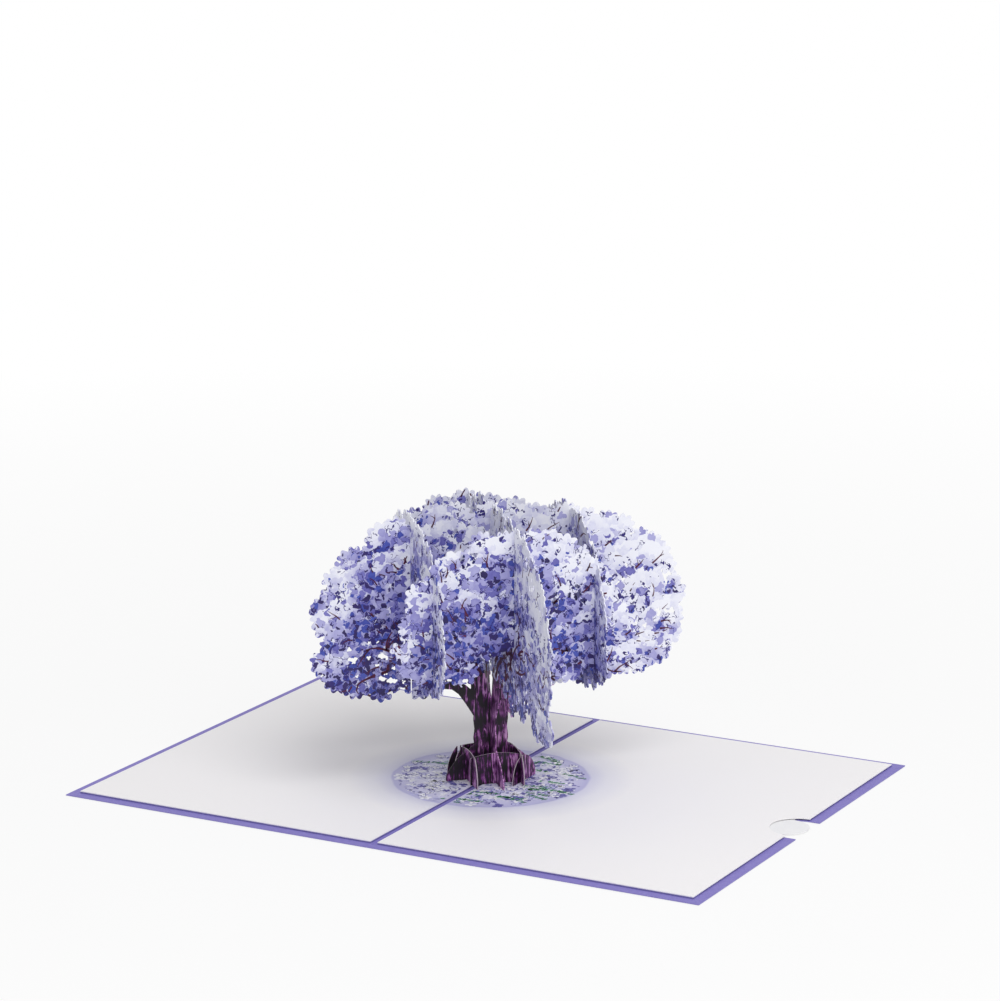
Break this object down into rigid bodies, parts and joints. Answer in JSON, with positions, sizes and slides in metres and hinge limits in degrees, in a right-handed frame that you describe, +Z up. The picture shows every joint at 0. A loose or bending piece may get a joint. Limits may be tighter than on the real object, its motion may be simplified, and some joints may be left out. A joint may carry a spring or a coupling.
{
  "type": "pop up card",
  "caption": "Open pop-up greeting card with a violet cut-window cover, white lining sheets, a slotted paper blossom tree and a pull-out note.",
  "frame": {"origin": "middle of the fold, at the underside of the open card", "axes": "+X to the panel that holds the note, +Y along the fold to the back, +Z up"},
  "size_m": [0.254, 0.178, 0.1077],
  "materials": {
    "violet_card": "matt dyed card, about 300 g/m2",
    "white_card": "smooth uncoated white card, printed round the tree's foot",
    "adhesive_tape": "double-sided tape strips",
    "note_paper": "white paper, folded once",
    "tree_print": "laser-cut card printed with blossom and bark",
    "blossom_print": "laser-cut card printed with blossom",
    "bark_print": "laser-cut card printed with bark"
  },
  "bodies": {
    "card": {"cover": "violet_card", "left_lining_sheet": "white_card", "right_lining_sheet": "white_card", "tape_left_front": "adhesive_tape", "tape_left_back": "adhesive_tape", "tape_left_fold": "adhesive_tape", "tape_left_edge": "adhesive_tape", "tape_right_front": "adhesive_tape", "tape_right_back": "adhesive_tape", "tape_right_fold": "adhesive_tape", "main_slice_across": "tree_print", "main_slice_along": "tree_print", "crown_slice_front": "blossom_print", "crown_slice_back": "blossom_print", "crown_slice_left": "blossom_print", "crown_slice_right": "blossom_print", "root_slice_front": "bark_print", "root_slice_back": "bark_print", "root_slice_left": "bark_print", "root_slice_right": "bark_print", "anchor_lobe_left": "bark_print", "anchor_lobe_right": "bark_print"},
    "note": {"pull_out_note": "note_paper"}
  },
  "joints": [
    {"name": "note_slide", "type": "slide", "parent": "card", "child": "note", "axis": [1, 0, 0], "range_m": [0, 0.085]}
  ]
}
